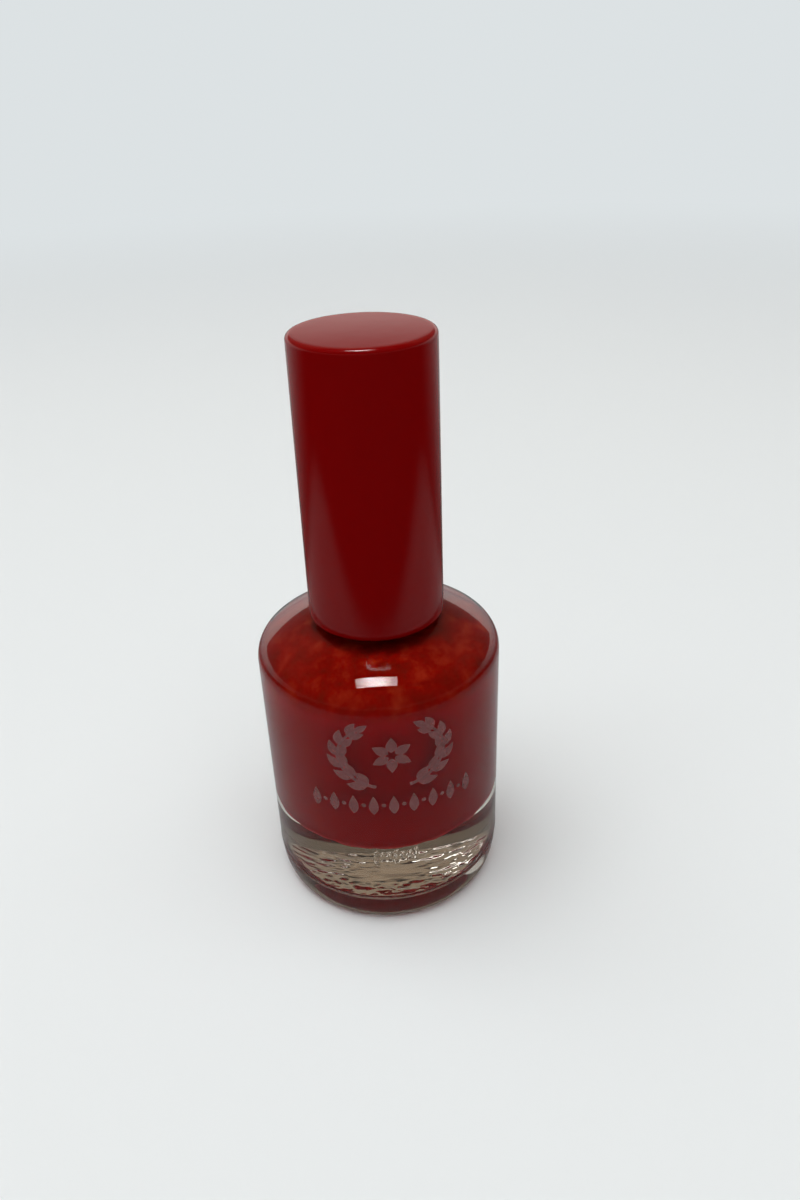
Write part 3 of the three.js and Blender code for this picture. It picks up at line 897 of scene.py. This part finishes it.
def build_stem():
    """Moulded stem with a flange, the bead that carries the gasket and a socket for the bristles."""
    low = STEM_LOW.z
    flange = STEM_HIGH.z - STEM_SPIGOT_H - STEM_FLANGE
    flange_top = flange + STEM_FLANGE
    soft = 0.3 * MM
    fine = 0.1 * MM
    tip_r = STEM_TIP_R
    bead_top = STEM_BEAD_Z + STEM_BEAD_HALF_H
    bead_low = STEM_BEAD_Z - STEM_BEAD_HALF_H
    neck_mid = (STEM_NECK_LOW_Z + STEM_NECK_HIGH_Z) / 2
    outline = joined(
        [(0, low + TUFT_SOCKET)],
        line((0, low + TUFT_SOCKET), (TUFT_SOCKET_R, low + TUFT_SOCKET), 4),
        line((TUFT_SOCKET_R, low + TUFT_SOCKET), (TUFT_SOCKET_R, low + fine), 10),
        arc(TUFT_SOCKET_R + fine, low + fine, fine, 180, 270, 3),
        arc(tip_r - soft / 2, low + soft, soft / 2, -90, 0, 5, soft),
        line((tip_r, low + soft), (STEM_TOP_R, STEM_NECK_LOW_Z), 40),
        curve3((STEM_TOP_R, STEM_NECK_LOW_Z), (STEM_TOP_R, neck_mid), (STEM_R, STEM_NECK_HIGH_Z), 6),
        line((STEM_R, STEM_NECK_HIGH_Z), (STEM_R, bead_low), 3),
        curve3((STEM_R, bead_low), (STEM_BEAD_PULL_R, STEM_BEAD_Z), (STEM_R, bead_top), 12),
        line((STEM_R, bead_top), (STEM_R, flange), 16),
        line((STEM_R, flange), (STEM_FLANGE_R - fine, flange), 6),
        arc(STEM_FLANGE_R - fine, flange + fine, fine, -90, 0, 3),
        arc(STEM_FLANGE_R - soft, flange_top - soft, soft, 0, 90, 5),
        line((STEM_FLANGE_R - soft, flange_top), (STEM_R, flange_top), 5),
        line((STEM_R, flange_top), (STEM_R - soft, STEM_HIGH.z - fine), 5),
        arc(STEM_R - soft - fine, STEM_HIGH.z - fine, fine, 0, 90, 3),
        line((STEM_R - soft - fine, STEM_HIGH.z), (0, STEM_HIGH.z), 6),
    )

    def parting_line(radius, angle, height, index):
        """Fine raised seam on both sides, where the mould halves met."""
        if radius < tip_r - 0.05 * MM or height > flange - 0.5 * MM:
            return radius, height
        side = abs((angle + math.pi / 2) % math.pi - math.pi / 2) * radius
        return radius + 0.035 * MM * max(0.0, 1 - (side / (0.1 * MM)) ** 2), height

    stem = lathe("stem_moulding", outline, MATERIALS["stem"], 192, parting_line)
    sharpen(stem, 50)
    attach(stem, "brush")
    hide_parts("brush_stem")


# ---------------------------------------------------------------- bristles
BRISTLES = 168
BRISTLE_R = 0.062 * MM
BRISTLE_SIDES = 6
BRISTLE_STEPS = 18
CLUMPS = 11
GOLDEN_ANGLE = math.pi * (3 - math.sqrt(5))
TUFT_ROOT_R = 1.0 * MM
TUFT_BELLY_R = TUFT_HIGH.x
TUFT_BELLY_Z = TUFT_LOW.z + 4 * MM


def tuft_radius(height):
    """Outline of the bunch of bristles at a height."""
    root_z = STEM_LOW.z - 0.3 * MM
    if height >= root_z:
        return TUFT_ROOT_R
    t = (root_z - height) / (root_z - TUFT_BELLY_Z)
    if t <= 1:
        swell = t * t * (3 - 2 * t)
        return TUFT_ROOT_R + (TUFT_BELLY_R - TUFT_ROOT_R) * (0.35 * t + 0.65 * swell)
    return TUFT_BELLY_R


def bristle_tube(bm, path, radius):
    """Closed round filament that narrows at its free end, the last point of the path."""
    rings = []
    last = len(path) - 1
    for i, place in enumerate(path):
        ahead = path[min(i + 1, last)] - path[max(i - 1, 0)]
        side = ahead.orthogonal().normalized()
        other = ahead.cross(side).normalized()
        thick = radius * (0.55 if i == last else 1.0)
        rings.append([
            bm.verts.new(place + thick * (side * math.cos(a) + other * math.sin(a)))
            for a in [TAU * k / BRISTLE_SIDES for k in range(BRISTLE_SIDES)]
        ])
    for low, high in zip(rings, rings[1:]):
        for i in range(BRISTLE_SIDES):
            j = (i + 1) % BRISTLE_SIDES
            bm.faces.new((low[i], low[j], high[j], high[i]))
    bm.faces.new(list(reversed(rings[0])))
    bm.faces.new(rings[-1])


def build_bristles():
    """Single filaments in a sunflower pattern. They draw together in clumps where they are wet."""
    draw = random.Random(11)
    bm = bmesh.new()
    root_top = TUFT_HIGH.z - 0.05 * MM
    for k in range(BRISTLES):
        rim = math.sqrt((k + 0.5) / BRISTLES)
        angle = k * GOLDEN_ANGLE
        tip = TUFT_LOW.z + (0.1 + 2.9 * rim ** 4 + 0.35 * draw.random()) * MM
        lean = draw.uniform(-0.12, 0.12)
        wave = draw.uniform(0, TAU)
        clump = (round(angle * CLUMPS / TAU) * TAU / CLUMPS - angle) * 0.5
        path = []
        for i in range(BRISTLE_STEPS + 1):
            t = i / BRISTLE_STEPS
            height = root_top + (tip - root_top) * t
            wet = max(0.0, t - 0.35) / 0.65
            reach = (tuft_radius(height) - 1.3 * BRISTLE_R) * rim * (1 - 0.10 * wet ** 3)
            turned = angle + clump * wet ** 2 + lean * wet + 0.05 * wet * math.sin(wave + 5 * t)
            path.append(Vector((reach * math.cos(turned), reach * math.sin(turned), height)))
        bristle_tube(bm, path, BRISTLE_R)
    bmesh.ops.recalc_face_normals(bm, faces=bm.faces)
    tuft = sharpen(object_from(bm, "bristles", MATERIALS["bristle"]), 60)
    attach(tuft, "brush")
    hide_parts("bristle_tuft")


WET_TIP_Z = TUFT_LOW.z + 0.02 * MM
WET_TOP_Z = TUFT_LOW.z + 13.2 * MM
WET_NOSE = 3.1 * MM
WET_FADE_START = 0.55
WET_STEPS = 44


def build_wet_lacquer():
    """Lacquer held between the bristles: a ridged body just inside their outline, with a full tip."""
    tip, top = WET_TIP_Z, WET_TOP_Z
    outline = [(0, tip)]
    for i in range(1, WET_STEPS):
        t = i / WET_STEPS
        height = tip + (top - tip) * t
        nose = math.sqrt(max(0.0, 1 - (1 - min(1, (height - tip) / WET_NOSE)) ** 2.2))
        fade = 1 - 0.75 * max(0.0, t - WET_FADE_START) / (1 - WET_FADE_START)
        outline.append((tuft_radius(height) * 0.97 * nose * fade, height))
    outline.append((0, top))

    def ridged(radius, angle, height, index):
        """Ridges over the clumps of bristles, with an uneven upper edge."""
        t = (height - tip) / (top - tip)
        slow = noise.noise(Vector((math.cos(angle) * 2, math.sin(angle) * 2, height * 220)))
        ridge = 0.035 * math.sin(CLUMPS * angle + 2.2 * slow) + 0.03 * math.sin(29 * angle + 4 * slow)
        run = 0.16 * slow * max(0.0, t - 0.4)
        return radius * (1 + ridge * min(1, 4 * t) - abs(run)), height + 2.4 * MM * run * t

    wet = lathe("wet_lacquer", outline, MATERIALS["wet"], 144, ridged)
    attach(wet, "brush")


def build_balls():
    """Steel balls that stir the pigment."""
    for side, body in (("right", "ball_right"), ("left", "ball_left")):
        low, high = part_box("mixing_ball_" + side)
        radius = (high.z - low.z) / 2
        bm = bmesh.new()
        bmesh.ops.create_uvsphere(bm, u_segments=64, v_segments=32, radius=radius)
        ball = object_from(bm, "steel_ball_" + side, MATERIALS["steel"])
        ball.location = (low + high) / 2
        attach(ball, body)
        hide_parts("mixing_ball_" + side)


def finish_staple():
    """The staple keeps its CAD shape and gets the steel material."""
    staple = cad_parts["tuft_staple"]
    staple.data.materials.clear()
    staple.data.materials.append(MATERIALS["steel"])


# ---------------------------------------------------------------- print on the front
PRINT_LOW = 0.006 * MM
PRINT_HIGH = 0.022 * MM
STRIP_CELLS = 4
# Places and sizes in the print are in millimetres across the front and up from the base.
SPRIG_MIDDLE = (0.6, 28.4)
SPRIG_REACH = (6.0, 4.7)
SPRIG_START = -76
SPRIG_SWEEP = 128
SPRIG_STEPS = 24
FLOWER_Y = 28.6
FLOWER_EYE = 0.45
PETALS = 6
ROW_Y = 19.4
ROW_STEP = 2.5
ROW_HALF = 4
LOZENGE = (2.9, 1.2)
DOT_R = 0.3


def on_front(across, up, lift):
    """Place on the wall of the bottle from millimetres across the front and up from the base."""
    angle = -math.pi / 2 + MARK_TURN + across * MM / BODY_R
    radius = BODY_R + lift
    return Vector((radius * math.cos(angle), radius * math.sin(angle), up * MM))


def ink_strip(bm, left, right):
    """Thin closed strip of ink between two edges with the same number of points."""
    layers = []
    for lift in (PRINT_HIGH, PRINT_LOW):
        layers.append([
            [bm.verts.new(on_front(a[0] + (b[0] - a[0]) * k / STRIP_CELLS,
                                   a[1] + (b[1] - a[1]) * k / STRIP_CELLS, lift))
             for k in range(STRIP_CELLS + 1)]
            for a, b in zip(left, right)
        ])
    top, bottom = layers
    rows = len(left)
    for i in range(rows - 1):
        for k in range(STRIP_CELLS):
            bm.faces.new((top[i][k], top[i][k + 1], top[i + 1][k + 1], top[i + 1][k]))
            bm.faces.new((bottom[i][k], bottom[i + 1][k], bottom[i + 1][k + 1], bottom[i][k + 1]))
        for k in (0, STRIP_CELLS):
            bm.faces.new((top[i][k], bottom[i][k], bottom[i + 1][k], top[i + 1][k]))
    for i in (0, rows - 1):
        for k in range(STRIP_CELLS):
            bm.faces.new((top[i][k], bottom[i][k], bottom[i][k + 1], top[i][k + 1]))


def ink_leaf(bm, start, heading, length, width, curl=0.0, steps=14):
    """Leaf from a point along a heading in degrees, which curls as it goes."""
    left, right = [], []
    x, y = start
    angle = math.radians(heading)
    for i in range(steps + 1):
        t = i / steps
        half = width / 2 * math.sin(math.pi * t ** 0.8) + 0.03
        left.append((x - half * math.sin(angle), y + half * math.cos(angle)))
        right.append((x + half * math.sin(angle), y - half * math.cos(angle)))
        angle += math.radians(curl) / steps
        x += length / steps * math.cos(angle)
        y += length / steps * math.sin(angle)
    ink_strip(bm, left, right)


def ink_dot(bm, centre, radius):
    """Round spot of ink."""
    left, right = [], []
    for i in range(13):
        t = math.pi * (0.03 + 0.94 * i / 12)
        left.append((centre[0] - radius * math.sin(t), centre[1] - radius * math.cos(t)))
        right.append((centre[0] + radius * math.sin(t), centre[1] - radius * math.cos(t)))
    ink_strip(bm, left, right)


def degrees_of(way):
    """Heading of a vector in the print."""
    return math.degrees(math.atan2(way.y, way.x))


def ink_sprig(bm, side):
    """Bent twig with leaves on both sides; side is 1 for the right one and -1 for its mirror image."""
    twig = []
    for i in range(SPRIG_STEPS + 1):
        angle = math.radians(SPRIG_START + SPRIG_SWEEP * i / SPRIG_STEPS)
        x = SPRIG_MIDDLE[0] + SPRIG_REACH[0] * math.cos(angle)
        y = SPRIG_MIDDLE[1] + SPRIG_REACH[1] * math.sin(angle)
        twig.append(Vector((side * x, y)))
    left, right = [], []
    for i, point in enumerate(twig):
        ahead = twig[min(i + 1, SPRIG_STEPS)] - twig[max(i - 1, 0)]
        across = Vector((-ahead.y, ahead.x)).normalized() * (0.26 - 0.10 * i / SPRIG_STEPS)
        left.append(point + across)
        right.append(point - across)
    ink_strip(bm, left, right)
    for i in range(2, SPRIG_STEPS, 4):
        heading = degrees_of(twig[i + 1] - twig[i])
        size = 1 - 0.22 * i / SPRIG_STEPS
        ink_leaf(bm, twig[i], heading - side * 42, 2.7 * size, 1.35 * size, side * 34)
        ink_leaf(bm, twig[i], heading + side * 46, 2.5 * size, 1.3 * size, -side * 34)
    ink_leaf(bm, twig[-1], degrees_of(twig[-1] - twig[-2]), 1.9, 0.9)


def build_print():
    """Generic ornament: two leafy sprigs round a small flower, over a row of lozenges and dots."""
    bm = bmesh.new()
    for side in (1, -1):
        ink_sprig(bm, side)
    for petal in range(PETALS):
        turn = 90 + 360 / PETALS * petal
        out = math.radians(turn)
        start = (FLOWER_EYE * math.cos(out), FLOWER_Y + FLOWER_EYE * math.sin(out))
        ink_leaf(bm, start, turn, 2.2, 1.3)
    for i in range(-ROW_HALF, ROW_HALF + 1):
        ink_leaf(bm, (ROW_STEP * i, ROW_Y), 90, *LOZENGE)
        if i < ROW_HALF:
            ink_dot(bm, (ROW_STEP * (i + 0.5), ROW_Y + LOZENGE[0] / 2), DOT_R)
    bmesh.ops.recalc_face_normals(bm, faces=bm.faces)
    ink = object_from(bm, "front_print", MATERIALS["ink"], smooth=False)
    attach(ink, "bottle")


# ---------------------------------------------------------------- camera, floor and lights
CAMERA_BACK = 99.64 * MM
CAMERA_HEIGHT = 99.12 * MM
CAMERA_PITCH = 0.53
CAMERA_YAW = 0.03
CAMERA_ROLL = -0.04
FOCAL_PIXELS = 917.4
FRAME_HEIGHT = 1200
SENSOR = 36.0


def build_camera():
    """Camera in front of the bottle, a little above the cap, looking down at it."""
    forward = Vector((
        math.sin(CAMERA_YAW) * math.cos(CAMERA_PITCH),
        math.cos(CAMERA_YAW) * math.cos(CAMERA_PITCH),
        -math.sin(CAMERA_PITCH),
    ))
    right = Vector((math.cos(CAMERA_YAW), -math.sin(CAMERA_YAW), 0))
    up = right.cross(forward)
    right_rolled = right * math.cos(CAMERA_ROLL) + up * math.sin(CAMERA_ROLL)
    up_rolled = up * math.cos(CAMERA_ROLL) - right * math.sin(CAMERA_ROLL)
    data = bpy.data.cameras.new("camera")
    data.sensor_width = SENSOR
    data.sensor_height = SENSOR
    data.lens = FOCAL_PIXELS / FRAME_HEIGHT * SENSOR
    data.clip_start = 0.001
    data.clip_end = 20
    camera = bpy.data.objects.new("camera", data)
    bpy.context.scene.collection.objects.link(camera)
    rows = Matrix((right_rolled, up_rolled, -forward)).transposed()
    camera.matrix_world = Matrix.Translation((0, -CAMERA_BACK, CAMERA_HEIGHT)) @ rows.to_4x4()
    bpy.context.scene.camera = camera


FLOOR_HALF = 3.6
CARD_HALF = 1.5
BACKDROP_R = 3.5


def hide_from(obj, *rays):
    """Makes an object invisible to some kinds of ray."""
    for ray in rays:
        setattr(obj, "visible_" + ray, False)


def flat_square(name, half, cells, material, height):
    """Level square round the origin, for the stage."""
    bm = bmesh.new()
    bmesh.ops.create_grid(bm, x_segments=cells, y_segments=cells, size=half)
    square = object_from(bm, name, material, smooth=False)
    square.location.z = height
    return square


def build_floor():
    """Level floor just under the bottle."""
    floor = flat_square("floor", FLOOR_HALF, 8, MATERIALS["floor"], -0.01 * MM)


def build_card():
    """Flat card round the bottle that only reflections see, a painted dark reflection."""
    card = flat_square("painted_dark_reflection", CARD_HALF, 2, MATERIALS["card"], 0.3 * MM)
    hide_from(card, "camera", "diffuse", "transmission", "shadow")


def build_backdrop():
    """Pale round backdrop. Reflections don't see it, because the room round the set is darker."""
    bm = bmesh.new()
    bmesh.ops.create_icosphere(bm, subdivisions=4, radius=BACKDROP_R)
    bmesh.ops.reverse_faces(bm, faces=bm.faces)
    backdrop = object_from(bm, "backdrop", MATERIALS["backdrop"], smooth=False)
    hide_from(backdrop, "glossy", "transmission", "diffuse", "shadow")


def build_world():
    """The room: pale behind the set, dim behind the camera, dark at the ceiling."""
    world = bpy.data.worlds.new("room")
    bpy.context.scene.world = world
    world.use_nodes = True
    tree = world.node_tree
    back = tree.nodes["Background"]
    rise = ramp(tree, axis_value(tree, "Z", "Generated"), [
        (0.00, (0.86, 0.88, 0.88)),
        (0.225, (1.70, 1.55, 1.46)),
        (0.250, (0.26, 0.24, 0.23)),
        (0.45, (0.20, 0.165, 0.14)),
        (0.73, (0.34, 0.26, 0.195)),
        (0.86, (0.04, 0.036, 0.033)),
    ])
    depth = axis_value(tree, "Y", "Generated")
    side = span(tree, depth, smooth=True, From_Min=-0.35, From_Max=0.75, To_Min=0.18, To_Max=1.0)
    tree.links.new(rise, back.inputs["Color"])
    tree.links.new(side, back.inputs["Strength"])


LIGHTS_AIM = Vector((0, 0, 0.03))
PANEL_AT = (-0.04, -0.06, 1.0)
PANEL_DEPTH = 0.12
PANELS = (("panel_core", 0.17, 5.0), ("panel_middle", 0.27, 4.6), ("panel_ends", 0.37, 3.8))
FILLS = (
    ("overhead_fill", (-0.05, -0.15, 1.25), 1.6, 1.2, 17),
    ("window_key", (-0.4, 0.0, 1.1), 0.8, 0.8, 2.6),
)


def area_light(name, at, size_x, size_y, power):
    """White rectangle of light that faces down; power is in watts."""
    data = bpy.data.lights.new(name, "AREA")
    data.shape = "RECTANGLE"
    data.size = size_x
    data.size_y = size_y
    data.energy = power
    light = bpy.data.objects.new(name, data)
    bpy.context.scene.collection.objects.link(light)
    light.location = at
    return light


def build_lights():
    """Nested panels make the one soft-ended highlight, and the fills light the set with no reflection."""
    for name, width, power in PANELS:
        panel = area_light(name, PANEL_AT, width, PANEL_DEPTH, power)
        hide_from(panel, "diffuse")
    for name, at, size_x, size_y, power in FILLS:
        fill = area_light(name, at, size_x, size_y, power)
        fill.rotation_euler = (LIGHTS_AIM - Vector(at)).to_track_quat("-Z", "Y").to_euler()
        hide_from(fill, "glossy")


bpy.context.scene.view_settings.view_transform = "Standard"
build_camera()
build_floor()
build_card()
build_backdrop()
build_world()
build_lights()
build_glass()
build_lacquer()
build_print()
build_cap()
build_insert()
build_gasket()
build_stem()
build_bristles()
build_wet_lacquer()
build_balls()
finish_staple()
